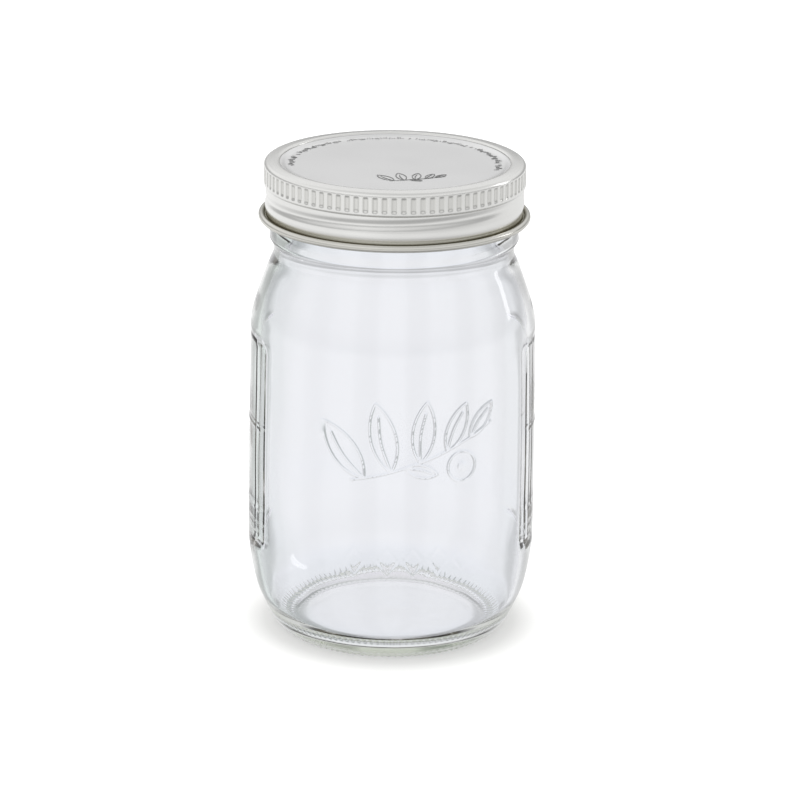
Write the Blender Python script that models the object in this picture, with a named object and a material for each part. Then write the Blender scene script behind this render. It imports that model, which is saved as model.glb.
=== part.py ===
"""Pint glass canning jar with a two-piece metal closure: jar, lid disc, sealing gasket, screw band.

Metres, +Z up. The origin is the centre of the bearing ring that the jar stands on, and +Z is the
axis of every piece. The closure is on, and screwed down. Angles are measured anticlockwise seen
from above, from the middle of the front, -Y.
"""
import math

import bmesh
import bpy

MM = 0.001
COLUMNS = 72

# Jar body
BEARING_INNER_R = 27.6 * MM
BEARING_OUTER_R = 30.4 * MM
HEEL_TOP_Z = 26.5 * MM
BODY_R = 39.6 * MM
BODY_TOP_R = 39.05 * MM
BODY_TOP_Z = 85.0 * MM
WALL = 2.3 * MM
BASE_INSIDE_Z = 3.6 * MM
PUNT_Z = 1.0 * MM

# Side panels, sunk into the body on both sides
PANEL_CENTRES = (math.radians(93.5), math.radians(-86.5))
PANEL_HALF_ANGLE = math.radians(27)
PANEL_BEVEL_ANGLE = math.radians(5)
PANEL_BEVEL_Z = 1.5 * MM
PANEL_DEPTH = 0.2 * MM
PANEL_INSIDE_SHARE = 0.6

# Neck and finish: the part of the glass that takes the closure
NECK_R = 32.6 * MM
NECK_Z = 107.4 * MM
COLLAR_R = 33.8 * MM
COLLAR_Z = 111.0 * MM
FINISH_R = 33.1 * MM
FINISH_Z = 116.0 * MM
BORE_R = 30.2 * MM
LAND_Z = 130.2 * MM

# Thread: one right-hand helix, a raised ridge on the glass and a pressed-in ridge on the band
LEAD = 5.08 * MM
RIDGE_HEIGHT = 1.3 * MM
RIDGE_HALF_WIDTH = 1.4 * MM
GLASS_RIDGE_Z = 127.0 * MM
GLASS_RIDGE_START = math.radians(-330)
GLASS_RIDGE_END = math.radians(60)
BAND_RIDGE_Z = 123.7 * MM
BAND_RIDGE_DEPTH = 0.75 * MM
BAND_RIDGE_HALF_WIDTH = 1.45 * MM
BAND_RIDGE_START = math.radians(-300)
BAND_RIDGE_END = math.radians(75)
RIDGE_FADE = math.radians(35)

# Screw band, pressed from one sheet
BAND_TOP_Z = 132.1 * MM
BAND_SHEET = 0.3 * MM
FLANGE_INNER_R = 31.4 * MM
KNURL_R = 35.5 * MM
KNURL_TOP_Z = 130.8 * MM
KNURL_BOTTOM_Z = 126.1 * MM
SKIRT_R = 35.05 * MM
SKIRT_TOP_Z = 125.6 * MM
SKIRT_BOTTOM_Z = 118.4 * MM
CURL_R = 0.95 * MM
CURL_CENTRE_R = 36.0 * MM
CURL_Z = 117.05 * MM

# Lid disc, pressed from one sheet
DISC_SHEET = 0.25 * MM
DISC_TOP_Z = BAND_TOP_Z - BAND_SHEET - 0.15 * MM
DISC_R = 33.8 * MM
DISC_HEM_Z = 130.75 * MM
CHANNEL_INNER_R = 30.7 * MM
PANEL_R = 29.9 * MM
PANEL_STEP = 0.5 * MM

# Sealing gasket, in the disc's channel
GASKET_INNER_R = 30.95 * MM
GASKET_OUTER_R = 33.0 * MM
GASKET_TOP_Z = DISC_TOP_Z - DISC_SHEET - 0.15 * MM
GASKET_BOTTOM_Z = LAND_Z + 0.2 * MM


def clear_scene():
    for obj in list(bpy.data.objects):
        bpy.data.objects.remove(obj, do_unlink=True)


def plain_material(name, colour, roughness, metallic, transmission=0.0, ior=1.5):
    material = bpy.data.materials.new(name)
    material.use_nodes = True
    shader = material.node_tree.nodes["Principled BSDF"]
    shader.inputs["Base Color"].default_value = (*colour, 1.0)
    shader.inputs["Roughness"].default_value = roughness
    shader.inputs["Metallic"].default_value = metallic
    shader.inputs["Transmission Weight"].default_value = transmission
    shader.inputs["IOR"].default_value = ior
    material.diffuse_color = (*colour, 1.0 - 0.6 * transmission)
    return material


def arc(centre, radius, start_deg, end_deg, steps):
    """Points (r, z) round an arc, both ends included."""
    turn = [math.radians(start_deg + (end_deg - start_deg) * i / steps) for i in range(steps + 1)]
    return [(centre[0] + radius * math.cos(a), centre[1] + radius * math.sin(a)) for a in turn]


def smooth_curve(controls, steps):
    """Points along a Catmull-Rom curve through the controls, both ends included."""
    ends = [controls[0], *controls, controls[-1]]
    points = []
    for a, b, c, d in zip(ends, ends[1:], ends[2:], ends[3:]):
        for i in range(steps):
            t = i / steps
            weights = (
                -t / 2 + t * t - t**3 / 2,
                1 - 5 * t * t / 2 + 3 * t**3 / 2,
                t / 2 + 2 * t * t - 3 * t**3 / 2,
                (t**3 - t * t) / 2,
            )
            points.append(tuple(sum(w * p[k] for w, p in zip(weights, (a, b, c, d))) for k in (0, 1)))
    return points + [controls[-1]]


def levels(r, low, high, steps):
    """Points straight up a wall of radius r, both ends included."""
    return [(r, low + (high - low) * i / steps) for i in range(steps + 1)]


def bump(distance, half_width):
    """A smooth hump: 1 in its middle, 0 from half_width outwards."""
    if abs(distance) >= half_width:
        return 0.0
    return 0.5 + 0.5 * math.cos(math.pi * distance / half_width)


def ramp(value, low, high):
    """0 below low, 1 above high, and a smooth rise between."""
    t = min(max((value - low) / (high - low), 0.0), 1.0)
    return t * t * (3 - 2 * t)


def helix_ridge(angle, z, middle_z, half_width, start, end):
    """How much of a helical ridge is at this place, 0 to 1: it climbs one lead a turn and fades at both ends."""
    found = 0.0
    for turn in range(-2, 3):
        along = angle + turn * math.tau
        if start <= along <= end:
            fade = ramp(along, start, start + RIDGE_FADE) * ramp(-along, -end, RIDGE_FADE - end)
            found = max(found, fade * bump(z - middle_z - LEAD * along / math.tau, half_width))
    return found


def panel_share(angle, z):
    """How much of the side panels' depth is at this place, 0 to 1."""
    found = 0.0
    for centre in PANEL_CENTRES:
        away = abs(math.remainder(angle - centre, math.tau))
        across = ramp(-away, -PANEL_HALF_ANGLE, PANEL_BEVEL_ANGLE - PANEL_HALF_ANGLE)
        found = max(found, across)
    above_bottom = ramp(z, HEEL_TOP_Z, HEEL_TOP_Z + PANEL_BEVEL_Z)
    below_top = ramp(-z, -BODY_TOP_Z, PANEL_BEVEL_Z - BODY_TOP_Z)
    return found * above_bottom * below_top


def turned_object(name, outline, material, closed, shift=None):
    """A solid turned about Z from an outline of (r, z) points.

    An open outline runs from the axis, round the outside, and back to the axis. A closed one is a
    ring's section. Either runs anticlockwise with r to the right and z up. shift(angle, r, z) moves
    a point outwards.
    """
    mesh = bmesh.new()
    rows = []
    for r, z in outline:
        if r == 0.0:
            rows.append([mesh.verts.new((0.0, 0.0, z))])
            continue
        row = []
        for column in range(COLUMNS):
            angle = math.tau * column / COLUMNS
            radius = r + (shift(angle, r, z) if shift else 0.0)
            row.append(mesh.verts.new((radius * math.sin(angle), -radius * math.cos(angle), z)))
        rows.append(row)
    pairs = list(zip(rows, rows[1:]))
    if closed:
        pairs.append((rows[-1], rows[0]))
    for low, high in pairs:
        for column in range(COLUMNS):
            after = (column + 1) % COLUMNS
            if len(low) == 1:
                mesh.faces.new((low[0], high[after], high[column]))
            elif len(high) == 1:
                mesh.faces.new((low[column], low[after], high[0]))
            else:
                mesh.faces.new((low[column], low[after], high[after], high[column]))
    data = bpy.data.meshes.new(name)
    mesh.to_mesh(data)
    mesh.free()
    data.shade_smooth()
    data.set_sharp_from_angle(angle=math.radians(35))
    data.materials.append(material)
    obj = bpy.data.objects.new(name, data)
    bpy.context.collection.objects.link(obj)
    return obj


def jar_outline():
    underside = [(0.0, PUNT_Z), (22.0 * MM, PUNT_Z), (25.6 * MM, PUNT_Z / 2), (BEARING_INNER_R, 0.0)]
    heel = smooth_curve(
        (
            (BEARING_OUTER_R, 0.0),
            (32.8 * MM, 2.4 * MM),
            (35.0 * MM, 6.6 * MM),
            (37.8 * MM, 14.0 * MM),
            (BODY_R, HEEL_TOP_Z),
        ),
        2,
    )
    body = [
        (BODY_R, HEEL_TOP_Z + PANEL_BEVEL_Z),
        (BODY_R, 53.0 * MM),
        (BODY_TOP_R, BODY_TOP_Z - PANEL_BEVEL_Z),
        (BODY_TOP_R, BODY_TOP_Z),
    ]
    shoulder = smooth_curve(
        (
            (38.8 * MM, 88.0 * MM),
            (38.1 * MM, 91.8 * MM),
            (34.5 * MM, 102.4 * MM),
            (NECK_R, NECK_Z),
            (COLLAR_R, COLLAR_Z),
        ),
        3,
    )
    finish = levels(FINISH_R, FINISH_Z, LAND_Z - 1.2 * MM, 18)
    collar = [(COLLAR_R, COLLAR_Z + 2.8 * MM)]
    lip_out = arc((FINISH_R - 0.9 * MM, LAND_Z - 0.9 * MM), 0.9 * MM, 0, 90, 2)
    lip_in = arc((BORE_R + 0.7 * MM, LAND_Z - 0.7 * MM), 0.7 * MM, 90, 180, 2)
    inside = smooth_curve(
        (
            (BORE_R, 112.0 * MM),
            (30.5 * MM, 106.0 * MM),
            (35.6 * MM, 92.0 * MM),
            (BODY_TOP_R - WALL, 82.0 * MM),
            (BODY_R - WALL, 52.0 * MM),
            (BODY_R - WALL, 30.0 * MM),
            (35.6 * MM, 15.5 * MM),
            (33.4 * MM, 8.6 * MM),
            (30.4 * MM, 4.9 * MM),
            (26.0 * MM, BASE_INSIDE_Z),
        ),
        2,
    )
    floor = [(0.0, BASE_INSIDE_Z)]
    return underside + heel + body + shoulder + collar + finish + lip_out + lip_in + inside + floor


def jar_shift(angle, r, z):
    """The thread's ridge on the finish, and the sunk panels of the body, which show less inside."""
    if r == FINISH_R:
        share = helix_ridge(
            angle, z, GLASS_RIDGE_Z, RIDGE_HALF_WIDTH, GLASS_RIDGE_START, GLASS_RIDGE_END
        )
        return RIDGE_HEIGHT * share
    if r > NECK_R:
        outside = r > BODY_R - WALL / 2
        depth = PANEL_DEPTH if outside else PANEL_DEPTH * PANEL_INSIDE_SHARE
        return -depth * panel_share(angle, z)
    return 0.0


def make_glass_jar():
    material = plain_material("clear_glass", (0.93, 0.96, 0.94), 0.02, 0.0, 1.0, 1.52)
    return turned_object("glass_jar", jar_outline(), material, False, jar_shift)


def band_outline():
    """The sheet's section: down the outside from the flange, round the curl, and up the inside."""
    inner_skirt_r = SKIRT_R - BAND_SHEET
    corner = KNURL_R - 1.3 * MM
    top = arc((corner, BAND_TOP_Z - 1.3 * MM), 1.3 * MM, 90, 0, 3)
    skirt_zs = [z for _, z in levels(0.0, SKIRT_TOP_Z, SKIRT_BOTTOM_Z, 12)]
    curl = arc((CURL_CENTRE_R, CURL_Z), CURL_R, 125, -170, 8)
    outer = (
        [(FLANGE_INNER_R, BAND_TOP_Z)]
        + top
        + [(KNURL_R, KNURL_BOTTOM_Z)]
        + [(SKIRT_R, z) for z in skirt_zs]
        + curl
    )
    under_top = arc((corner, BAND_TOP_Z - 1.3 * MM), 1.3 * MM - BAND_SHEET, 0, 90, 3)
    inner = (
        [(inner_skirt_r, z) for z in reversed(skirt_zs)]
        + [(KNURL_R - BAND_SHEET, KNURL_BOTTOM_Z + 0.1 * MM)]
        + under_top
        + [(FLANGE_INNER_R, BAND_TOP_Z - BAND_SHEET)]
    )
    return list(reversed(outer + inner))


def band_shift(angle, r, z):
    """The pressed-in ridge, on both faces of the skirt."""
    if SKIRT_BOTTOM_Z <= z <= SKIRT_TOP_Z and r in (SKIRT_R, SKIRT_R - BAND_SHEET):
        share = helix_ridge(
            angle, z, BAND_RIDGE_Z, BAND_RIDGE_HALF_WIDTH, BAND_RIDGE_START, BAND_RIDGE_END
        )
        return -BAND_RIDGE_DEPTH * share
    return 0.0


def make_screw_band():
    material = plain_material("band_metal", (0.75, 0.75, 0.74), 0.28, 1.0)
    return turned_object("screw_band", band_outline(), material, True, band_shift)


def make_lid_disc():
    panel_z = DISC_TOP_Z - PANEL_STEP
    hem = DISC_R - 0.6 * MM
    corner = (hem, DISC_TOP_Z - 0.6 * MM)
    under = arc(corner, 0.6 * MM - DISC_SHEET, 90, 0, 2)
    over = arc(corner, 0.6 * MM, 0, 90, 2)
    outline = (
        [
            (0.0, panel_z - DISC_SHEET),
            (PANEL_R, panel_z - DISC_SHEET),
            (CHANNEL_INNER_R, DISC_TOP_Z - DISC_SHEET),
        ]
        + under
        + [(DISC_R - DISC_SHEET, DISC_HEM_Z), (DISC_R, DISC_HEM_Z)]
        + over
        + [(CHANNEL_INNER_R - 0.1 * MM, DISC_TOP_Z), (PANEL_R - 0.1 * MM, panel_z), (0.0, panel_z)]
    )
    material = plain_material("lid_metal", (0.66, 0.66, 0.66), 0.42, 0.9)
    return turned_object("lid_disc", outline, material, False)


def make_sealing_gasket():
    outline = [
        (GASKET_INNER_R, GASKET_TOP_Z),
        (GASKET_INNER_R, GASKET_BOTTOM_Z),
        (GASKET_OUTER_R, GASKET_BOTTOM_Z),
        (GASKET_OUTER_R, GASKET_TOP_Z),
    ]
    material = plain_material("sealing_compound", (0.55, 0.53, 0.49), 0.6, 0.0)
    return turned_object("sealing_gasket", outline, material, True)


def main():
    clear_scene()
    make_glass_jar()
    make_lid_disc()
    make_sealing_gasket()
    make_screw_band()


main()
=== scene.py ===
"""Looks of the canning jar: fine glass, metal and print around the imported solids, and a plain studio.

Metres, +Z up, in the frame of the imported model. Angles are anticlockwise seen from above, from the
middle of the front, -Y. A ring is (angles, radii, heights), and a path is a list of (r, z) points.
"""
import math

import bpy
import numpy as np
from mathutils import Matrix, Vector


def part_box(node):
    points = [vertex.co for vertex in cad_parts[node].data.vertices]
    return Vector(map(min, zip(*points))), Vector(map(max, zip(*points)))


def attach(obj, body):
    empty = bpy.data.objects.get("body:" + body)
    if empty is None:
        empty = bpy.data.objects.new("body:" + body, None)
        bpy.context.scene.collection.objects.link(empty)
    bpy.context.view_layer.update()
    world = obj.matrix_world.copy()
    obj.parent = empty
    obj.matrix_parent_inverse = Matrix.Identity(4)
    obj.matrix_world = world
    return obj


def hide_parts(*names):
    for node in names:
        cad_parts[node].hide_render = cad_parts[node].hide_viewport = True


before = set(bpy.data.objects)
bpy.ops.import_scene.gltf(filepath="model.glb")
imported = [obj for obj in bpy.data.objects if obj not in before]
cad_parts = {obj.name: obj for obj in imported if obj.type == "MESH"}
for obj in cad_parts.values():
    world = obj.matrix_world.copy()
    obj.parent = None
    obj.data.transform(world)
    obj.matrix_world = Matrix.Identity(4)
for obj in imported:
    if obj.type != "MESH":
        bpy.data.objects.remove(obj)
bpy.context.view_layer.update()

MM = 0.001
TAU = math.tau

# ---------------------------------------------------------------- driving sizes of the jar
_, BODY_R, LAND_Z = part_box("glass_jar")[1]
WALL = 2.3 * MM
BEARING_INNER_R, BEARING_OUTER_R = 27.6 * MM, 30.4 * MM
HEEL_TOP_Z = 26.5 * MM
BODY_TOP_R, BODY_TOP_Z = 39.05 * MM, 85.0 * MM
NECK_R, NECK_Z = 32.6 * MM, 107.4 * MM
NECK_SEAM_HEIGHT, NECK_SEAM_HALF_WIDTH, NECK_SEAM_ROOM = 0.06 * MM, 0.28 * MM, 0.5 * MM
COLLAR_R, COLLAR_Z = 33.8 * MM, 111.2 * MM
COLLAR_SEAM_HALF_WIDTH = 0.25 * MM
FINISH_R, FINISH_Z = 33.1 * MM, 116.0 * MM
LIP_OUTER_ROUND, LIP_INNER_ROUND = 0.9 * MM, 0.7 * MM
BORE_R = 30.2 * MM

THREAD_LEAD = 5.08 * MM
THREAD_FADE = math.radians(35)
THREAD_START, THREAD_END = math.radians(-330), math.radians(60)
THREAD_Z, THREAD_HEIGHT, THREAD_HALF_WIDTH = 127.0 * MM, 1.3 * MM, 1.4 * MM

PANEL_FRONTS = (math.radians(66.8), math.radians(-60.0))
PANEL_SECOND_STEP = math.radians(9.3)
PANEL_ANGLE = math.radians(56)
PANEL_CORNER_R = 3.0 * MM
PANEL_BEVEL, PANEL_BACK_BEVEL = 0.9 * MM, 9.0 * MM
PANEL_DEPTH, PANEL_GROOVE = 0.2 * MM, 0.24 * MM
PANEL_FIRST_SHARE, PANEL_INSIDE_SHARE = 0.55, 0.4

RIB_COUNT, RIB_DEPTH, RIB_TOP_Z = 104, 0.28 * MM, 4.2 * MM
ART_CENTRE = math.radians(9.2)
STROKE_HALF_WIDTH = 0.5 * MM
SPRIG_Z, SPRIG_HEIGHT = 66.5 * MM, 0.27 * MM
SPRIG_HALF_WIDTH, SPRIG_HALF_RISE = 26 * MM, 15 * MM
SEAL_ANGLE, SEAL_Z, SEAL_R, SEAL_HEIGHT = math.radians(28.5), 57.0 * MM, 4.1 * MM, 0.25 * MM
LOZENGE_ANGLES = tuple(math.radians(angle) for angle in (-14, -1, 9, 19, 29))
LOZENGE_Z, LOZENGE_HEIGHT, LOZENGE_REACH = 31.3 * MM, 0.045 * MM, 4.6 * MM
LOZENGE_HALF_WIDTH, LOZENGE_HALF_HEIGHT = 2.5 * MM, 3.6 * MM
LEVEL_MARK_ZS, LEVEL_MARK_HEIGHT, LEVEL_MARK_HALF_WIDTH = (37.0 * MM, 60.2 * MM), 0.16 * MM, 0.7 * MM

# ---------------------------------------------------------------- driving sizes of the closure
BAND_TOP_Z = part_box("screw_band")[1][2]
BAND_SHEET = 0.3 * MM
RIM_R, RIM_LOW_Z, RIM_ROUND = 35.5 * MM, 126.1 * MM, 1.2 * MM
SKIRT_R = 35.05 * MM
CURL_CENTRE_R, CURL_Z, CURL_R = 36.0 * MM, 117.05 * MM, 0.93 * MM
CREVICE_LOW_Z, CREVICE_HIGH_Z = 116.95 * MM, 119.6 * MM
GROOVE_START, GROOVE_END = math.radians(-300), math.radians(75)
GROOVE_Z, GROOVE_DEPTH, GROOVE_HALF_WIDTH = 123.3 * MM, 0.3 * MM, 1.75 * MM
KNURL_COUNT, KNURL_DEPTH, KNURL_END = 88, 0.28 * MM, 0.9 * MM
KNURL_LOW_Z, KNURL_HIGH_Z = 126.35 * MM, 131.0 * MM

DISC_R, _, DISC_TOP_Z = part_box("lid_disc")[1]
DISC_SHEET, DISC_ROUND = 0.25 * MM, 0.6 * MM
LID_PANEL_Z, LID_HEM_Z = DISC_TOP_Z - 0.5 * MM, 130.75 * MM
GASKET_LOW_Z, GASKET_HIGH_Z = (corner[2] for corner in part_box("sealing_gasket"))
GASKET_INNER_R, GASKET_OUTER_R, GASKET_ROUND = 30.95 * MM, 33.0 * MM, 0.35 * MM

INK_THICKNESS = 0.02 * MM
EMBLEM_LIFT, EMBLEM_SCALE, EMBLEM_PLACE = 0.11 * MM, 17.0 / 45.0, (4.9, -14.3)
DASH_LIFT, DASH_R = 0.04 * MM, 28.0 * MM
DASH_START, DASH_END = math.radians(78), math.radians(278)


# ---------------------------------------------------------------- small maths
def ramp(value, low, high):
    """0 below low, 1 above high, smooth between; arrays too."""
    t = np.clip((value - low) / (high - low), 0.0, 1.0)
    return t * t * (3 - 2 * t)


def bump(distance, half_width):
    """A smooth hump: 1 in its middle, 0 from half_width outwards; arrays too."""
    return 0.5 + 0.5 * np.cos(np.pi * np.clip(np.abs(distance) / half_width, 0.0, 1.0))


def around(angle, centre):
    """Signed angle from a centre, within half a turn."""
    return (angle - centre + np.pi) % TAU - np.pi


def path_mm(*points, base_z=0.0):
    """A path whose points are given in millimetres, with heights counted from base_z."""
    return [(r * MM, base_z + z * MM) for r, z in points]


def arc(centre, radius, start_deg, end_deg, steps):
    turn = np.radians(np.linspace(start_deg, end_deg, steps + 1))
    return [(centre[0] + radius * math.cos(a), centre[1] + radius * math.sin(a)) for a in turn]


def smooth_curve(controls, spacing):
    """Points about spacing apart along a Catmull-Rom curve through the controls, both ends included."""
    ends = [controls[0], *controls, controls[-1]]
    points = []
    for a, b, c, d in zip(ends, ends[1:], ends[2:], ends[3:]):
        steps = max(2, round(math.dist(b, c) / spacing))
        for i in range(steps):
            t = i / steps
            weights = (
                -t / 2 + t * t - t**3 / 2,
                1 - 5 * t * t / 2 + 3 * t**3 / 2,
                t / 2 + 2 * t * t - 3 * t**3 / 2,
                (t**3 - t * t) / 2,
            )
            points.append(tuple(sum(w * p[k] for w, p in zip(weights, (a, b, c, d))) for k in (0, 1)))
    return points + [tuple(controls[-1])]


def straight(start, end, spacing):
    steps = max(1, round(math.dist(start, end) / spacing))
    return [tuple(a + (b - a) * i / steps for a, b in zip(start, end)) for i in range(steps + 1)]


def bezier(p0, p1, p2, p3, steps):
    t = np.linspace(0, 1, steps + 1)[:, None]
    p0, p1, p2, p3 = (np.array(p, float) for p in (p0, p1, p2, p3))
    return (1 - t) ** 3 * p0 + 3 * t * (1 - t) ** 2 * p1 + 3 * t * t * (1 - t) * p2 + t**3 * p3


def distance_to(lines, u, v):
    """Distance of each point (u, v) to the nearest of the polylines."""
    nearest = np.full(np.shape(u), np.inf)
    for line in lines:
        for (ax, ay), (bx, by) in zip(line, line[1:]):
            dx, dy = bx - ax, by - ay
            t = np.clip(((u - ax) * dx + (v - ay) * dy) / (dx * dx + dy * dy), 0, 1)
            nearest = np.minimum(nearest, np.hypot(u - ax - t * dx, v - ay - t * dy))
    return nearest


def helix(angle, z, start, end, middle_z, half_width):
    """A right-hand ridge, 1 along its middle, that climbs a lead a turn and fades at both ends."""
    found = np.zeros(np.shape(angle))
    for turn in range(-2, 2):
        along = angle + turn * TAU
        share = ramp(along, start, start + THREAD_FADE) * (1 - ramp(along, end - THREAD_FADE, end))
        middle = middle_z + THREAD_LEAD * along / TAU
        found = np.maximum(found, share * bump(z - middle, half_width))
    return found


# ---------------------------------------------------------------- turned meshes
POLE = np.zeros(1)


def even_angles(count):
    return np.arange(count) * TAU / count


def path_rings(path, angles, shift=None):
    """Rings for the points of a path. shift(angles, r, z) moves a ring's points outwards."""
    return [(angles, r + (shift(angles, r, z) if shift else 0.0), z) for r, z in path]


def stitched(angles_a, angles_b, first_a, first_b):
    """Triangles between two rings that have different numbers of points."""
    count_a, count_b = len(angles_a), len(angles_b)
    faces, i, j = [], 0, 0
    while i < count_a or j < count_b:
        here_a, here_b = first_a + i % count_a, first_b + j % count_b
        next_a = angles_a[i + 1] if i + 1 < count_a else TAU
        next_b = angles_b[j + 1] if j + 1 < count_b else TAU
        if j >= count_b or (i < count_a and next_a <= next_b):
            faces.append((here_a, first_a + (i + 1) % count_a, here_b))
            i += 1
        else:
            faces.append((here_a, first_b + (j + 1) % count_b, here_b))
            j += 1
    return faces


def turned_piece(name, rings, material, closed=False):
    """A mesh through rings that run up the outside and down the inside. A pole is a ring of one point."""
    points, faces, spans = [], [], []
    total = 0
    for angles, radii, heights in rings:
        radii, heights = (np.broadcast_to(value, angles.shape) for value in (radii, heights))
        points.append(np.stack([radii * np.sin(angles), -radii * np.cos(angles), heights], 1))
        spans.append((angles, total))
        total += len(angles)
    pairs = list(zip(spans, spans[1:]))
    if closed:
        pairs.append((spans[-1], spans[0]))
    for (low_angles, low), (high_angles, high) in pairs:
        low_count, high_count = len(low_angles), len(high_angles)
        k = np.arange(max(low_count, high_count))
        after = (k + 1) % len(k)
        if low_count == 1:
            faces += np.stack([np.full_like(k, low), high + after, high + k], 1).tolist()
        elif high_count == 1:
            faces += np.stack([low + k, low + after, np.full_like(k, high)], 1).tolist()
        elif low_count == high_count:
            faces += np.stack([low + k, low + after, high + after, high + k], 1).tolist()
        else:
            faces += stitched(low_angles, high_angles, low, high)
    return mesh_piece(name, np.concatenate(points).tolist(), faces, material)


def mesh_piece(name, points, faces, material, sharp_deg=50):
    mesh = bpy.data.meshes.new(name)
    mesh.from_pydata(points, [], faces)
    mesh.shade_smooth()
    mesh.set_sharp_from_angle(angle=math.radians(sharp_deg))
    mesh.materials.append(material)
    obj = bpy.data.objects.new(name, mesh)
    bpy.context.scene.collection.objects.link(obj)
    return obj


def stand_for(piece, node, body):
    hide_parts(node)
    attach(piece, body)


# ---------------------------------------------------------------- the sprig, the emblem of jar and lid
STEM = ((-17.0, -12.6), (-6.0, -10.5), (8.0, -6.0), (22.8, 1.6))
# Each leaf's place along the stem, direction in degrees, length and width in millimetres.
LEAVES = (
    (0.10, 128, 19.0, 6.6),
    (0.30, 103, 19.5, 6.4),
    (0.50, 84, 17.0, 5.6),
    (0.68, 66, 14.0, 4.8),
    (0.84, 50, 11.5, 4.0),
    (0.40, -14, 9.0, 3.2),
)


def stem_point(share):
    return bezier(*STEM, 200)[round(200 * share)]


def leaf(base, direction_deg, length, width):
    """Outline and rib of one pointed leaf, as two polylines."""
    a = math.radians(direction_deg)
    along, across = np.array((math.cos(a), math.sin(a))), np.array((-math.sin(a), math.cos(a)))
    tip = base + length * along

    def side(sign):
        bow = sign * width * 0.72 * across
        lower, upper = base + 0.25 * length * along + bow, base + 0.7 * length * along + bow
        return bezier(base, lower, upper, tip, 14)

    outline = np.concatenate([side(1), side(-1)[::-1][1:]])
    bend = base + 0.45 * length * along + 0.06 * length * across
    rib = bezier(base, bend, bend, base + 0.8 * length * along, 8)
    return outline, rib


def sprig_lines():
    """A leafy sprig that rises to the right, in millimetres, about 45 wide and 27 high."""
    lines = [bezier(*STEM, 24)]
    for share, direction_deg, length, width in LEAVES:
        lines += leaf(stem_point(share), direction_deg, length, width)
    return lines


SPRIG = sprig_lines()


# ---------------------------------------------------------------- glass jar, outside
OUTSIDE = smooth_curve(
    [
        (BEARING_OUTER_R, 0.0),
        *path_mm((32.8, 2.4), (35.0, 6.6), (37.8, 14.0)),
        (BODY_R, HEEL_TOP_Z),
        (BODY_R, 40.0 * MM),
        (BODY_R, 53.0 * MM),
        *path_mm((39.35, 70.0)),
        (BODY_TOP_R, BODY_TOP_Z),
        *path_mm((38.1, 91.8), (34.5, 102.4)),
        (NECK_R, NECK_Z),
        (COLLAR_R, COLLAR_Z),
    ],
    0.4 * MM,
)


def outer_r(z):
    radii, heights = np.array(OUTSIDE).T
    return float(np.interp(z, heights, radii))


def past_panel_front(angle, front):
    """Distance round the body from a panel's front edge towards its back."""
    return around(angle, front) * math.copysign(1, front) * BODY_R


def inside_corner(along, up):
    """Distance inside a quarter of a rounded rectangle; along and up run inwards from its sides."""
    out, over = PANEL_CORNER_R - along, PANEL_CORNER_R - up
    corner = np.hypot(np.maximum(out, 0), np.maximum(over, 0))
    return PANEL_CORNER_R - corner - np.minimum(np.maximum(out, over), 0)


def panel_edge(inside, depth):
    """Depth of one let-in edge: a step, and a fine groove along it."""
    step = depth * ramp(inside, 0, PANEL_BEVEL)
    return step + PANEL_GROOVE * bump(inside - 0.5 * PANEL_BEVEL, 0.8 * PANEL_BEVEL)


def panel_depth(angle, z):
    """How deep the side panels lie at this place.

    Each panel is let in by two close steps at its front and its ends, and runs out gently at its back.
    """
    up = min(z - HEEL_TOP_Z, BODY_TOP_Z - z)
    back_edge = PANEL_ANGLE * BODY_R
    depth = np.zeros(np.shape(angle))
    for front in PANEL_FRONTS:
        along = past_panel_front(angle, front)
        first = inside_corner(along, up)
        second = inside_corner(along - PANEL_SECOND_STEP * BODY_R, up)
        steps = panel_edge(first, PANEL_FIRST_SHARE * PANEL_DEPTH)
        steps = steps + panel_edge(second, (1 - PANEL_FIRST_SHARE) * PANEL_DEPTH)
        run_out = 1 - ramp(along, back_edge - PANEL_BACK_BEVEL, back_edge)
        depth = np.maximum(depth, steps * run_out)
    return depth


def sprig_relief(angle, z):
    height = np.zeros(np.shape(angle))
    if abs(z - SPRIG_Z) < SPRIG_HALF_RISE:
        across = around(angle, ART_CENTRE) * BODY_R
        near = np.abs(across) < SPRIG_HALF_WIDTH
        away = distance_to(SPRIG, across[near] / MM, (z - SPRIG_Z) / MM) * MM
        height[near] = SPRIG_HEIGHT * bump(away, STROKE_HALF_WIDTH)
    return height


def seal_relief(angle, z):
    """A plain ring with a soft dot in its middle."""
    away = np.hypot(around(angle, SEAL_ANGLE) * BODY_R, z - SEAL_Z)
    dot = 1 - ramp(away, 0.6 * MM, 1.9 * MM)
    return SEAL_HEIGHT * np.maximum(bump(away - SEAL_R, STROKE_HALF_WIDTH), dot)


def lozenge_relief(angle, z):
    """Outlines of a row of faint lozenges near the foot."""
    height = np.zeros(np.shape(angle))
    if abs(z - LOZENGE_Z) < LOZENGE_REACH:
        for centre in LOZENGE_ANGLES:
            across = np.abs(around(angle, centre)) * BODY_R / LOZENGE_HALF_WIDTH
            away = (across + abs(z - LOZENGE_Z) / LOZENGE_HALF_HEIGHT - 1) * 2.0 * MM
            height = np.maximum(height, LOZENGE_HEIGHT * bump(away, 0.6 * MM))
    return height


def level_mark_relief(angle, z):
    """Short level marks on both side panels."""
    height = np.zeros(np.shape(angle))
    for front in PANEL_FRONTS:
        along = past_panel_front(angle, front)
        length = ramp(along, 3.0 * MM, 3.8 * MM) * (1 - ramp(along, 21.0 * MM, 22.0 * MM))
        for mark_z in LEVEL_MARK_ZS:
            mark = LEVEL_MARK_HEIGHT * length * bump(z - mark_z, LEVEL_MARK_HALF_WIDTH)
            height = np.maximum(height, mark)
    return height


def body_shift(angle, r, z):
    reliefs = (sprig_relief, seal_relief, lozenge_relief, level_mark_relief)
    return np.maximum.reduce([relief(angle, z) for relief in reliefs]) - panel_depth(angle, z)


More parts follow.
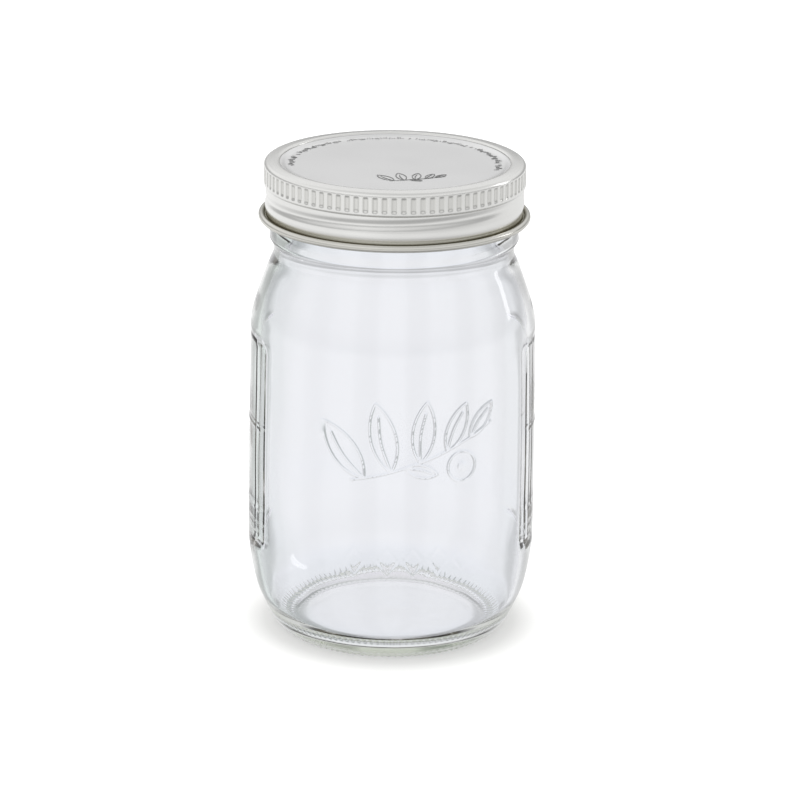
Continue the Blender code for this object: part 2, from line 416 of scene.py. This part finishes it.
# From, to and spacing of the body's columns, in degrees: close at the art and at the panels' edges.
COLUMN_SPANS = (
    (-27.0, 45.0, 0.36),
    (45.0, 66.0, 3.0),
    (66.0, 79.0, 0.5),
    (79.0, 287.0, 3.0),
    (287.0, 301.0, 0.5),
    (301.0, 333.0, 3.0),
)
# From, to and spacing of its rows, in millimetres: close at the art and at the panels' ends.
ROW_SPANS = ((26.5, 36.6, 0.45), (37.0, 52.5, 1.1), (53.0, 81.0, 0.27), (81.4, 85.3, 0.3))


def body_columns():
    parts = []
    for low, high, spacing in COLUMN_SPANS:
        parts.append(np.linspace(low, high, round((high - low) / spacing), endpoint=False))
    return np.sort(np.radians(np.concatenate(parts)) % TAU)


def pressed_ribs(rings):
    """Radial ribs pressed into the bearing ring's outer edge. Each ring moves in and up between ribs."""
    moved = []
    for angles, r, z in rings:
        share = ramp(r, 27.5 * MM, 28.3 * MM) * (1 - ramp(z, 0.8 * MM, 2.2 * MM))
        valley = 0.5 - 0.5 * np.cos(angles * RIB_COUNT)
        slope = math.radians(90 if z == 0.0 else 50)
        depth = RIB_DEPTH * share * valley**0.8
        moved.append((angles, r - depth * math.cos(slope), z + depth * math.sin(slope)))
    return moved


def foot_rings(plain):
    """The hollow underside, the ribbed bearing ring and the heel."""
    hollow = path_mm((0.0, 1.1), (11.0, 1.05), (21.0, 0.9), (25.0, 0.5))
    underside = smooth_curve([*hollow, (BEARING_INNER_R, 0.0)], 1.5 * MM)
    bearing = straight((BEARING_INNER_R, 0.0), (BEARING_OUTER_R, 0.0), 0.4 * MM)
    edge = [point for point in OUTSIDE[1:] if point[1] <= RIB_TOP_Z]
    heel = [(outer_r(z), z) for z in np.arange(5.0, 26.0, 1.0) * MM]
    rings = path_rings(underside[:1], POLE) + path_rings(underside[1:-1], plain)
    rings += pressed_ribs(path_rings(bearing + edge, even_angles(RIB_COUNT * 5)))
    return rings + path_rings(heel, plain)


def body_rings():
    heights = np.concatenate([np.arange(*span) for span in ROW_SPANS]) * MM
    return path_rings([(outer_r(z), z) for z in heights], body_columns(), body_shift)


def neck_rings(plain):
    """The shoulder, the neck with a fine mould seam, and the collar with its sharper one."""
    shoulder = [point for point in OUTSIDE if 86.2 * MM < point[1] < 110.6 * MM][::2]
    below = [point for point in shoulder if point[1] < NECK_Z - NECK_SEAM_ROOM]
    above = [point for point in shoulder if point[1] > NECK_Z + NECK_SEAM_ROOM]
    seam_steps = ((-NECK_SEAM_HALF_WIDTH, 0.0), (0.0, NECK_SEAM_HEIGHT), (NECK_SEAM_HALF_WIDTH, 0.0))
    neck_seam = [(outer_r(NECK_Z + up) + out, NECK_Z + up) for up, out in seam_steps]
    collar_seam = [
        (COLLAR_R - 0.03 * MM, COLLAR_Z - COLLAR_SEAM_HALF_WIDTH),
        (COLLAR_R + 0.1 * MM, COLLAR_Z),
        (COLLAR_R - 0.03 * MM, COLLAR_Z + COLLAR_SEAM_HALF_WIDTH),
    ]
    collar = smooth_curve(
        [
            (COLLAR_R, COLLAR_Z + 0.7 * MM),
            (COLLAR_R - 0.05 * MM, 113.4 * MM),
            (33.4 * MM, 114.9 * MM),
            (FINISH_R, FINISH_Z),
        ],
        0.5 * MM,
    )
    return path_rings(below + neck_seam + above + collar_seam + collar, plain)


def thread_shift(angle, r, z):
    return THREAD_HEIGHT * helix(angle, z, THREAD_START, THREAD_END, THREAD_Z, THREAD_HALF_WIDTH)


def finish_rings(plain):
    """The threaded finish, and the lip that rounds over into the bore."""
    threaded = straight((FINISH_R, FINISH_Z + 0.4 * MM), (FINISH_R, LAND_Z - 1.2 * MM), 0.4 * MM)
    lip = arc((FINISH_R - LIP_OUTER_ROUND, LAND_Z - LIP_OUTER_ROUND), LIP_OUTER_ROUND, 0, 90, 6)
    lip += arc((BORE_R + LIP_INNER_ROUND, LAND_Z - LIP_INNER_ROUND), LIP_INNER_ROUND, 90, 180, 5)
    return path_rings(threaded, plain, thread_shift) + path_rings(lip, plain)


# ---------------------------------------------------------------- glass jar, inside
def wavy(angle, z):
    """The small unevenness of glass formed by air, in the wall's inside."""
    waves = (
        0.05 * np.sin(2 * angle + z / (11 * MM))
        + 0.035 * np.sin(3 * angle - z / (17 * MM) + 1.1)
        + 0.02 * np.sin(7 * angle + z / (6 * MM) + 0.4)
    )
    return waves * MM * ramp(z, 8 * MM, 22 * MM) * (1 - ramp(z, 100 * MM, 112 * MM))


def inner_shift(angle, r, z):
    return wavy(angle, z) - PANEL_INSIDE_SHARE * panel_depth(angle, z)


def inside_rings():
    """The bore, the wall's inside and the floor, down to the middle."""
    path = smooth_curve(
        [
            (BORE_R, 127.0 * MM),
            (BORE_R, 112.0 * MM),
            *path_mm((30.5, 106.0), (35.6, 92.0)),
            (BODY_TOP_R - WALL, 82.0 * MM),
            (BODY_R - WALL, 52.0 * MM),
            (BODY_R - WALL, 30.0 * MM),
            *path_mm((35.6, 15.5), (33.4, 8.6), (30.4, 4.9), (26.0, 3.6), (12.0, 3.45), (0.0, 3.6)),
        ],
        2.0 * MM,
    )
    return path_rings(path[:-1], even_angles(128), inner_shift) + path_rings(path[-1:], POLE)


def make_glass_jar(material):
    plain = even_angles(180)
    rings = foot_rings(plain) + body_rings() + neck_rings(plain) + finish_rings(plain) + inside_rings()
    piece = turned_piece("jar_glass", rings, material)
    stand_for(piece, "glass_jar", "jar")


# ---------------------------------------------------------------- screw band
def skirt_shift(angle, r, z):
    """The thread pressed into the band's skirt."""
    return -GROOVE_DEPTH * helix(angle, z, GROOVE_START, GROOVE_END, GROOVE_Z, GROOVE_HALF_WIDTH)


def knurl_shift(angle, r, z):
    """Flutes pressed into the band's rim, which run out softly at both ends."""
    across = np.abs(around(angle * KNURL_COUNT, 0.0)) / TAU
    flute = 1 - ramp(across, 0.17, 0.31)
    low_end = ramp(z, KNURL_LOW_Z, KNURL_LOW_Z + KNURL_END)
    high_end = 1 - ramp(z, KNURL_HIGH_Z - KNURL_END, KNURL_HIGH_Z)
    return -KNURL_DEPTH * flute * low_end * high_end


def make_screw_band(material):
    plain, knurled = even_angles(360), even_angles(KNURL_COUNT * 12)
    corner = (RIM_R - RIM_ROUND, BAND_TOP_Z - 1.36 * MM)
    flange_path = path_mm(
        (31.1, -0.40), (31.2, -0.20), (31.5, -0.06), (32.1, 0.0), (33.2, -0.07), (34.2, -0.19),
        base_z=BAND_TOP_Z,
    )
    flange = smooth_curve(flange_path, 0.2 * MM) + arc(corner, RIM_ROUND, 76, 12, 9)
    rim = straight((RIM_R, BAND_TOP_Z - 1.3 * MM), (RIM_R, RIM_LOW_Z), 0.25 * MM)
    step = path_mm((35.48, 125.9), (35.4, 125.72), (35.2, 125.6))
    skirt = smooth_curve(
        [
            (SKIRT_R, 125.45 * MM),
            (SKIRT_R - 0.02 * MM, 124.0 * MM),
            (SKIRT_R - 0.04 * MM, 122.6 * MM),
            (SKIRT_R + 0.10 * MM, 121.0 * MM),
            (SKIRT_R + 0.08 * MM, 119.8 * MM),
            (SKIRT_R - 0.14 * MM, 118.6 * MM),
        ],
        0.22 * MM,
    )
    curl = straight((SKIRT_R - 0.16 * MM, 118.2 * MM), (SKIRT_R - 0.04 * MM, 117.15 * MM), 0.3 * MM)
    curl += arc((CURL_CENTRE_R, CURL_Z), CURL_R, 172, -130, 26)
    inner = [(SKIRT_R - 0.1 * MM, 116.45 * MM), (SKIRT_R - BAND_SHEET, 116.9 * MM)]
    inner += [(r - BAND_SHEET, z) for r, z in reversed(skirt)]
    under = path_mm((35.2, 126.0), (35.2, 130.5))
    under += arc((corner[0], corner[1] + 0.06 * MM), RIM_ROUND - BAND_SHEET, 5, 84, 5)
    under += [(31.8 * MM, BAND_TOP_Z - BAND_SHEET), (31.3 * MM, BAND_TOP_Z - 0.38 * MM)]
    rings = path_rings(flange, plain) + path_rings(rim, knurled, knurl_shift) + path_rings(step, plain)
    rings += path_rings(skirt, plain, skirt_shift) + path_rings(curl, plain)
    rings += path_rings(inner, plain, skirt_shift) + path_rings(under, plain)
    piece = turned_piece("band_shell", rings[::-1], material, closed=True)
    stand_for(piece, "screw_band", "band")


# ---------------------------------------------------------------- lid disc and gasket
def make_lid_disc(material):
    plain = even_angles(256)
    corner = (DISC_R - DISC_ROUND, DISC_TOP_Z - DISC_ROUND)
    panel = path_mm((0.0, 0.1), (14.0, 0.07), (25.0, 0.01), (29.4, 0.0), base_z=LID_PANEL_Z)
    step = [
        *path_mm((29.7, 0.05), (30.15, 0.25), base_z=LID_PANEL_Z),
        *path_mm((30.6, -0.06), (31.0, 0.0), (32.0, 0.0), base_z=DISC_TOP_Z),
        (corner[0], DISC_TOP_Z),
    ]
    top = smooth_curve(panel, 1.5 * MM) + smooth_curve(step, 0.2 * MM)
    over = top + arc(corner, DISC_ROUND, 80, 0, 7) + [(DISC_R, LID_HEM_Z)]
    under = [(r, z - DISC_SHEET) for r, z in top]
    hem = arc(corner, DISC_ROUND - DISC_SHEET, 85, 5, 4) + [(DISC_R - DISC_SHEET, LID_HEM_Z)]
    rings = path_rings(under[:1], POLE) + path_rings(under[1:] + hem, plain)
    rings += path_rings(over[:0:-1], plain) + path_rings(over[:1], POLE)
    piece = turned_piece("lid_plate", rings, material)
    stand_for(piece, "lid_disc", "lid")


def make_gasket(material):
    low, high = GASKET_LOW_Z + GASKET_ROUND, GASKET_HIGH_Z - GASKET_ROUND
    inner, outer = GASKET_INNER_R + GASKET_ROUND, GASKET_OUTER_R - GASKET_ROUND
    path = []
    for quarter, centre in enumerate(((outer, low), (outer, high), (inner, high), (inner, low))):
        start_deg = 90 * quarter - 90
        path += arc(centre, GASKET_ROUND, start_deg, start_deg + 90, 4)
    piece = turned_piece("gasket_ring", path_rings(path, even_angles(240)), material, closed=True)
    stand_for(piece, "sealing_gasket", "lid")


# ---------------------------------------------------------------- print on the lid
def stroke(points, widths, low_z):
    """Corners and faces of a thin flat bar along a polyline of (x, y), closed all round."""
    along = np.gradient(points, axis=0)
    along /= np.linalg.norm(along, axis=1)[:, None]
    across = np.stack([-along[:, 1], along[:, 0]], 1) * (widths / 2)[:, None]
    count = len(points)
    corners = []
    for z in (low_z, low_z + INK_THICKNESS):
        for side in (1, -1):
            corners += [(x, y, z) for x, y in points + side * across]
    left_low, right_low, left_high, right_high = (count * i for i in range(4))
    faces = []
    for i in range(count - 1):
        faces.append((left_high + i, right_high + i, right_high + i + 1, left_high + i + 1))
        faces.append((left_low + i + 1, right_low + i + 1, right_low + i, left_low + i))
        faces.append((left_low + i, left_high + i, left_high + i + 1, left_low + i + 1))
        faces.append((right_low + i + 1, right_high + i + 1, right_high + i, right_low + i))
    faces.append((left_low, right_low, right_high, left_high))
    last = count - 1
    faces.append((left_high + last, right_high + last, right_low + last, left_low + last))
    return corners, faces


def emblem_strokes():
    """The sprig in front, with strokes that swell in their middles."""
    strokes = []
    for line in sprig_lines():
        swell = np.sin(np.pi * np.linspace(0, 1, len(line)))
        points = line * EMBLEM_SCALE * MM + np.array(EMBLEM_PLACE) * MM
        strokes.append(stroke(points, (0.16 + 0.22 * swell) * MM, LID_PANEL_Z + EMBLEM_LIFT))
    return strokes


def dash_strokes():
    """A broken ring of small plain ticks round the rear, uneven in length, lean, width and spacing."""
    strokes = []
    angle = DASH_START
    while angle < DASH_END:
        middle = DASH_R + 0.3 * MM * math.sin(41.0 * angle)
        half = (0.66 + 0.26 * math.sin(67.0 * angle)) * MM
        radii = np.linspace(middle - half, middle + half, 3)
        lean = angle + math.radians(0.35) * math.sin(29.0 * angle) * np.linspace(-1, 1, 3)
        tick = np.stack([radii * np.sin(lean), -radii * np.cos(lean)], 1)
        width = (0.27 + 0.09 * math.sin(53.0 * angle)) * MM
        strokes.append(stroke(tick, np.full(3, width), LID_PANEL_Z + DASH_LIFT))
        gap_deg = 2.6 if math.sin(9.0 * angle) > 0.92 else 0.0
        angle += math.radians(1.6 + 0.4 * math.sin(83.0 * angle) + gap_deg)
    return strokes


def make_lid_print(material):
    corners, faces = [], []
    for more, more_faces in emblem_strokes() + dash_strokes():
        faces += [tuple(i + len(corners) for i in face) for face in more_faces]
        corners += more
    piece = mesh_piece("lid_print", corners, faces, material, sharp_deg=30)
    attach(piece, "lid")


# ---------------------------------------------------------------- node graphs
# Where a Mix node has the sockets of its two colours, and of its result.
COLOUR_A, COLOUR_B, COLOUR_RESULT = 6, 7, 2
# Most of a noise's values lie between these.
NOISE_LOW, NOISE_HIGH = 0.3, 0.7


def colour_of(value):
    """A colour as it is, or a grey as a colour."""
    return value if isinstance(value, tuple) else (value,) * 3


class Graph:
    """A node tree, with short ways to add nodes. A value is a number, a colour or a node's output."""

    def __init__(self, tree):
        self.tree = tree

    def node(self, kind, **values):
        node = self.tree.nodes.new(kind)
        for key, value in values.items():
            if hasattr(node, key):
                setattr(node, key, value)
            else:
                node.inputs[key.replace("_", " ")].default_value = value
        return node

    def feed(self, value, socket):
        if isinstance(value, bpy.types.NodeSocket):
            self.tree.links.new(value, socket)
        else:
            socket.default_value = value

    def axes(self, vector):
        split = self.node("ShaderNodeSeparateXYZ")
        self.feed(vector, split.inputs["Vector"])
        return [split.outputs[axis] for axis in "XYZ"]

    def length(self, vector):
        node = self.node("ShaderNodeVectorMath", operation="LENGTH")
        self.feed(vector, node.inputs[0])
        return node.outputs["Value"]

    def math(self, operation, *values):
        node = self.node("ShaderNodeMath", operation=operation)
        for value, socket in zip(values, node.inputs):
            self.feed(value, socket)
        return node.outputs["Value"]

    def spread(self, value, low, high, to_low=0.0, to_high=1.0):
        """The value's range from low to high, spread over to_low to to_high and clamped there."""
        node = self.node("ShaderNodeMapRange", From_Min=low, From_Max=high, To_Min=to_low, To_Max=to_high)
        self.feed(value, node.inputs["Value"])
        return node.outputs["Result"]

    def ramp(self, factor, *stops):
        """A colour ramp through stops of a position and a colour or grey."""
        node = self.node("ShaderNodeValToRGB")
        elements = node.color_ramp.elements
        while len(elements) < len(stops):
            elements.new(0.5)
        for element, (position, colour) in zip(elements, stops):
            element.position = position
            element.color = (*colour_of(colour), 1.0)
        self.feed(factor, node.inputs["Fac"])
        return node.outputs["Color"]

    def mix(self, factor, first, second, blend="MIX"):
        node = self.node("ShaderNodeMix", data_type="RGBA", blend_type=blend)
        self.feed(factor, node.inputs["Factor"])
        self.feed(first, node.inputs[COLOUR_A])
        self.feed(second, node.inputs[COLOUR_B])
        return node.outputs[COLOUR_RESULT]

    def waves(self, x, y, count):
        """A cosine from -1 to 1 that runs so many times round the vertical axis."""
        return self.math("COSINE", self.math("MULTIPLY", self.math("ARCTAN2", x, y), float(count)))


class Shader(Graph):
    """A material and its Principled shader."""

    def __init__(self, name):
        self.material = bpy.data.materials.new(name)
        self.material.use_nodes = True
        super().__init__(self.material.node_tree)
        self.bsdf = self.tree.nodes["Principled BSDF"]
        self.output = self.tree.nodes["Material Output"]

    def set(self, **values):
        for key, value in values.items():
            self.feed(value, self.bsdf.inputs[key.replace("_", " ")])

    def place(self, scale=(1, 1, 1)):
        """Object coordinates, scaled."""
        mapping = self.node("ShaderNodeMapping", Scale=scale)
        self.feed(self.node("ShaderNodeTexCoord").outputs["Object"], mapping.inputs["Vector"])
        return mapping.outputs["Vector"]

    def noise(self, scale, detail=3.0, roughness=0.5, stretch=(1, 1, 1)):
        node = self.node("ShaderNodeTexNoise", Scale=scale, Detail=detail, Roughness=roughness)
        self.feed(self.place(stretch), node.inputs["Vector"])
        return node.outputs["Fac"]

    def mottled(self, scale, first, second):
        """A colour that drifts between two others."""
        return self.ramp(self.noise(scale), (NOISE_LOW, first), (NOISE_HIGH, second))

    def varied(self, scale, low, high, detail=3.0):
        """A number that drifts between two others."""
        return self.spread(self.noise(scale, detail), NOISE_LOW, NOISE_HIGH, low, high)

    def bump(self, height, distance):
        node = self.node("ShaderNodeBump", Strength=1.0, Distance=distance)
        self.feed(height, node.inputs["Height"])
        return node.outputs["Normal"]


# ---------------------------------------------------------------- glass
TRAPPED_BOUNCES = 6.5


def painted_trapped_glow(shader):
    """Painted light and shade as a glow: dark with light flecks in front; light in the rear, and lighter
    from the neck up.
    """
    _, y, z = shader.axes(shader.place())
    flecks = shader.ramp(
        shader.noise(110.0, 4.0, 0.6, (1, 1, 0.5)),
        (0.50, (0.022, 0.020, 0.018)),
        (0.60, (0.13, 0.12, 0.10)),
        (0.70, (0.90, 0.86, 0.92)),
    )
    light = shader.mottled(30.0, (0.84, 0.82, 0.93), (0.95, 0.92, 1.0))
    rear = shader.spread(y, 8 * MM, 22 * MM)
    above = shader.spread(z, 98 * MM, 106 * MM, to_high=0.45)
    return shader.mix(shader.math("MAXIMUM", rear, above), flecks, light)


def clear_glass():
    """Clear glass. Light that has bounced inside the wall many times ends in a set tone, a painted glow
    of light and shade.
    """
    shader = Shader("clear_glass")
    shader.set(
        Transmission_Weight=1.0,
        IOR=1.52,
        Metallic=0.0,
        Base_Color=shader.mottled(9.0, (0.941, 0.945, 0.971), (0.952, 0.956, 0.980)),
        Roughness=shader.varied(60.0, 0.0, 0.02, detail=4.0),
        Normal=shader.bump(shader.noise(55.0, 2.0, stretch=(1, 1, 0.45)), 0.12 * MM),
    )
    volume = shader.node("ShaderNodeVolumeAbsorption", Density=20.0, Color=(0.76, 0.80, 0.68, 1.0))
    shader.feed(volume.outputs["Volume"], shader.output.inputs["Volume"])
    # Past so many bounces the glass shows the painted glow in place of traced light.
    bounces = shader.node("ShaderNodeLightPath").outputs["Ray Depth"]
    glow = shader.node("ShaderNodeEmission")
    shader.feed(painted_trapped_glow(shader), glow.inputs["Color"])
    mix = shader.node("ShaderNodeMixShader")
    shader.feed(shader.math("GREATER_THAN", bounces, TRAPPED_BOUNCES), mix.inputs[0])
    shader.feed(shader.bsdf.outputs["BSDF"], mix.inputs[1])
    shader.feed(glow.outputs["Emission"], mix.inputs[2])
    shader.feed(mix.outputs["Shader"], shader.output.inputs["Surface"])
    return shader.material


# ---------------------------------------------------------------- metals, compound, ink and floor
def crevice_painted_shade(shader, z):
    """Painted shade: dull olive just above the curled edge, and a soft grey on the roll itself."""
    crevice = shader.ramp(
        shader.spread(z, CREVICE_LOW_Z, CREVICE_HIGH_Z),
        (0.0, 1.0),
        (0.13, (0.80, 0.79, 0.74)),
        (0.24, (0.30, 0.28, 0.21)),
        (0.34, (0.24, 0.22, 0.16)),
        (0.42, (0.50, 0.49, 0.43)),
        (0.52, (0.84, 0.83, 0.78)),
        (0.8, (0.94, 0.93, 0.90)),
        (1.0, 1.0),
    )
    roll = shader.mottled(30.0, (0.76, 0.75, 0.715), (0.86, 0.85, 0.815))
    from_axis = shader.length(shader.place((1, 1, 0)))
    outwards = shader.spread(from_axis, CURL_CENTRE_R - 0.25 * MM, CURL_CENTRE_R + 0.25 * MM)
    return shader.mix(outwards, crevice, roll)


def flute_painted_shade(shader, x, y):
    """Painted shade: a darker tone in each flute of the knurl."""
    return shader.ramp(
        shader.spread(shader.waves(x, y, KNURL_COUNT), -1.0, 1.0),
        (0.0, 1.0),
        (0.25, (0.97, 0.97, 0.96)),
        (0.55, (0.77, 0.77, 0.76)),
        (0.8, (0.83, 0.83, 0.82)),
        (1.0, (0.87, 0.87, 0.86)),
    )


def band_metal():
    """Bright rolled tinplate, with its crevice and flutes darkened by painted shade."""
    shader = Shader("band_metal")
    x, y, z = shader.axes(shader.place())
    sheet = shader.mottled(18.0, (0.86, 0.858, 0.84), (0.93, 0.928, 0.91))
    knurl_height = shader.spread(z, KNURL_LOW_Z, KNURL_HIGH_Z)
    knurled = shader.ramp(knurl_height, (0.0, 0.0), (0.14, 1.0), (0.86, 1.0), (1.0, 0.0))
    # Painted shade in the knurl's flutes, multiplied into the sheet.
    rim = shader.mix(knurled, sheet, flute_painted_shade(shader, x, y), "MULTIPLY")
    # Painted shade in the crevice above the curled edge, multiplied into the sheet.
    edge = shader.mix(1.0, sheet, crevice_painted_shade(shader, z), "MULTIPLY")
    over_crevice = shader.spread(z, CREVICE_HIGH_Z, CREVICE_HIGH_Z + 0.3 * MM)
    shader.set(
        Metallic=1.0,
        Base_Color=shader.mix(over_crevice, edge, rim),
        Roughness=shader.varied(50.0, 0.2, 0.28, detail=2.0),
        Normal=shader.bump(shader.noise(40.0, 1.0, stretch=(1, 1, 60)), 0.015 * MM),
    )
    return shader.material


def lid_metal():
    """Brushed tinplate, brushed from side to side."""
    shader = Shader("lid_metal")
    shader.set(
        Metallic=1.0,
        Base_Color=shader.mottled(14.0, 0.91, 0.96),
        Roughness=shader.varied(60.0, 0.28, 0.36, detail=2.0),
        Normal=shader.bump(shader.noise(30.0, 1.0, stretch=(1, 40, 1)), 0.01 * MM),
    )
    return shader.material


def sealing_compound():
    shader = Shader("sealing_compound")
    shader.set(
        Metallic=0.0,
        Specular_IOR_Level=0.4,
        Base_Color=shader.mottled(300.0, (0.50, 0.48, 0.44), (0.58, 0.56, 0.52)),
        Roughness=shader.varied(500.0, 0.5, 0.7),
        Normal=shader.bump(shader.noise(900.0, 4.0), 0.03 * MM),
    )
    return shader.material


def print_ink():
    shader = Shader("print_ink")
    shader.set(
        Metallic=0.0,
        Specular_IOR_Level=0.5,
        Base_Color=shader.mottled(200.0, 0.10, 0.15),
        Roughness=shader.varied(400.0, 0.35, 0.5),
    )
    return shader.material


def floor_painted_shadow():
    """Matt white, with a painted contact shadow in soft grey round the jar's foot and under it."""
    shader = Shader("floor_painted_shadow")
    from_jar = shader.spread(shader.length(shader.place()), 0.0, 60 * MM)
    # Painted contact shadow: grey under the foot, darkest at its edge, fading to white by about 50 mm.
    grey = shader.ramp(
        from_jar,
        (0.0, 0.80),
        (0.5, (0.62, 0.62, 0.61)),
        (0.58, (0.66, 0.66, 0.65)),
        (0.68, (0.82, 0.82, 0.81)),
        (0.84, 0.93),
    )
    shader.set(Metallic=0.0, Roughness=0.9, Specular_IOR_Level=0.0, Base_Color=grey)
    return shader.material


# ---------------------------------------------------------------- studio
FLOOR_HALF_WIDTH, FLOOR_FRONT_Y, FLOOR_BACK_Y, FLOOR_DROP = 0.9, -1.5, 1.7, 0.05 * MM
CAMERA_ELEVATION, CAMERA_ROLL = math.radians(17.98), math.radians(0.76)
CAMERA_DISTANCE, CAMERA_AIM_Z = 1.020, 61.2 * MM
CAMERA_SHIFT_RIGHT, CAMERA_SHIFT_UP = 2.16 * MM, 2.65 * MM
TENT_GAP_COUNT = 8


def make_floor(material):
    x, front, back = FLOOR_HALF_WIDTH, FLOOR_FRONT_Y, FLOOR_BACK_Y
    corners = [(-x, front, 0.0), (x, front, 0.0), (x, back, 0.0), (-x, back, 0.0)]
    floor = mesh_piece("studio_floor", corners, [(0, 1, 2, 3)], material)
    floor.location.z = -FLOOR_DROP
    floor.visible_glossy = False
    floor.visible_transmission = False
    return floor


def area_light(name, size, place, target, power, blocker, in_reflections):
    """A softbox whose light only the blocker stops, so that the jar casts no shadow in it."""
    data = bpy.data.lights.new(name, "AREA")
    data.shape = "RECTANGLE"
    data.size, data.size_y = size
    data.energy = power
    light = bpy.data.objects.new(name, data)
    light.location = place
    light.rotation_euler = (Vector(target) - Vector(place)).to_track_quat("-Z", "Y").to_euler()
    light.visible_camera = False
    light.visible_glossy = in_reflections
    light.visible_transmission = False
    bpy.context.scene.collection.objects.link(light)
    light.light_linking.blocker_collection = bpy.data.collections.new(name + "_blockers")
    light.light_linking.blocker_collection.objects.link(blocker)


def reflected_tent(graph, x, y, z):
    """White panels with a darker gap at the horizon and just above it, as reflections show them."""
    behind = graph.ramp(
        graph.spread(z, -1, 1),
        (0.0, 0.50), (0.2, 0.62), (0.345, 1.0), (0.47, 1.0), (0.50, 0.50),
        (0.595, 0.42), (0.63, 0.78), (0.66, 1.0), (0.80, 0.92), (1.0, 0.72),
    )
    before = graph.ramp(
        graph.spread(z, -1, 1),
        (0.0, 0.46), (0.17, 0.48), (0.27, 0.86), (0.335, 1.0), (0.42, 1.0), (0.50, 0.66),
        (0.56, 0.48), (0.62, 0.66), (0.70, 1.0), (0.85, 1.0), (1.0, 0.72),
    )
    sideways = graph.ramp(
        graph.spread(x, -1, 1),
        (0.0, 0.88), (0.3, 0.97), (0.5, 0.88), (0.75, 0.84), (1.0, 0.80),
    )
    front_to_back = graph.mix(graph.spread(y, -0.25, 0.25), before, behind)
    return graph.mix(1.0, front_to_back, sideways, "MULTIPLY")


def tent_through_glass(graph, x, y, z):
    """The tent as the glass bends it: greys by height, upright gaps, and green behind on the left."""
    level = graph.ramp(
        graph.spread(z, -1, 1),
        (0.0, (0.74, 0.75, 0.76)), (0.11, (0.80, 0.81, 0.82)), (0.19, (0.91, 0.93, 0.95)),
        (0.28, (0.97, 0.98, 1.0)), (0.35, 1.0), (0.42, 1.0), (0.46, 0.82), (0.50, 0.60), (0.56, 0.60),
        (0.64, 0.78), (0.72, 0.88), (1.0, 0.8),
    )
    wave = graph.spread(graph.waves(x, y, TENT_GAP_COUNT), -1, 1)
    dark_gaps = graph.ramp(wave, (0.05, 0.56), (0.31, 0.64), (0.585, 1.0))
    light_gaps = graph.ramp(wave, (0.05, 0.84), (0.31, 0.88), (0.585, 1.0))
    gaps = graph.mix(graph.spread(x, 0.2, 0.6), dark_gaps, light_gaps)
    plain = graph.mix(1.0, level, gaps, "MULTIPLY")
    tint = graph.ramp(
        graph.spread(x, -1, 1),
        (0.0, (0.72, 0.77, 0.73)), (0.32, (0.82, 0.87, 0.84)), (0.46, 1.0),
    )
    return graph.mix(graph.spread(y, 0.1, 0.45), plain, graph.mix(1.0, plain, tint, "MULTIPLY"))


def make_world():
    """A tent that reflections and the glass show, and plain white where the camera looks past the jar.

    Heights run from -1, straight down, to 1, straight up.
    """
    world = bpy.data.worlds.new("studio")
    bpy.context.scene.world = world
    world.use_nodes = True
    graph = Graph(world.node_tree)
    x, y, z = graph.axes(graph.node("ShaderNodeTexCoord").outputs["Generated"])
    path = graph.node("ShaderNodeLightPath")
    through, direct = path.outputs["Is Transmission Ray"], path.outputs["Is Camera Ray"]
    tent = graph.mix(through, reflected_tent(graph, x, y, z), tent_through_glass(graph, x, y, z))
    graph.feed(graph.mix(direct, tent, (1, 1, 1, 1)), graph.tree.nodes["Background"].inputs["Color"])


def make_camera():
    forward = Vector((0, math.cos(CAMERA_ELEVATION), -math.sin(CAMERA_ELEVATION)))
    up = Vector((0, math.sin(CAMERA_ELEVATION), math.cos(CAMERA_ELEVATION)))
    right = forward.cross(up)
    aim = Vector((0, 0, CAMERA_AIM_Z)) + CAMERA_SHIFT_RIGHT * right + CAMERA_SHIFT_UP * up
    turned_up = math.cos(CAMERA_ROLL) * up - math.sin(CAMERA_ROLL) * right
    turned_right = forward.cross(turned_up)
    data = bpy.data.cameras.new("camera")
    data.sensor_width = 36.0
    data.lens = 166.39
    data.clip_start = 0.01
    data.clip_end = 50.0
    camera = bpy.data.objects.new("camera", data)
    axes = Matrix((turned_right, turned_up, -forward)).transposed().to_4x4()
    camera.matrix_world = Matrix.Translation(aim - CAMERA_DISTANCE * forward) @ axes
    bpy.context.scene.collection.objects.link(camera)
    bpy.context.scene.camera = camera


def make_studio():
    floor = make_floor(floor_painted_shadow())
    make_world()
    area_light(
        "top_softbox", size=(4.0, 4.0), place=(0, 0.3, 2.2), target=(0, 0.3, 0),
        power=72, blocker=floor, in_reflections=False,
    )
    area_light(
        "right_softbox", size=(0.16, 0.9), place=(1.5, 0.56, 0.62), target=(0, 0, 0.09),
        power=1.2, blocker=floor, in_reflections=True,
    )
    make_camera()
    scene = bpy.context.scene
    scene.view_settings.view_transform = "Standard"
    scene.cycles.max_bounces = 24
    scene.cycles.transmission_bounces = 20
    scene.cycles.glossy_bounces = 8


make_glass_jar(clear_glass())
make_screw_band(band_metal())
make_lid_disc(lid_metal())
make_gasket(sealing_compound())
make_lid_print(print_ink())
make_studio()
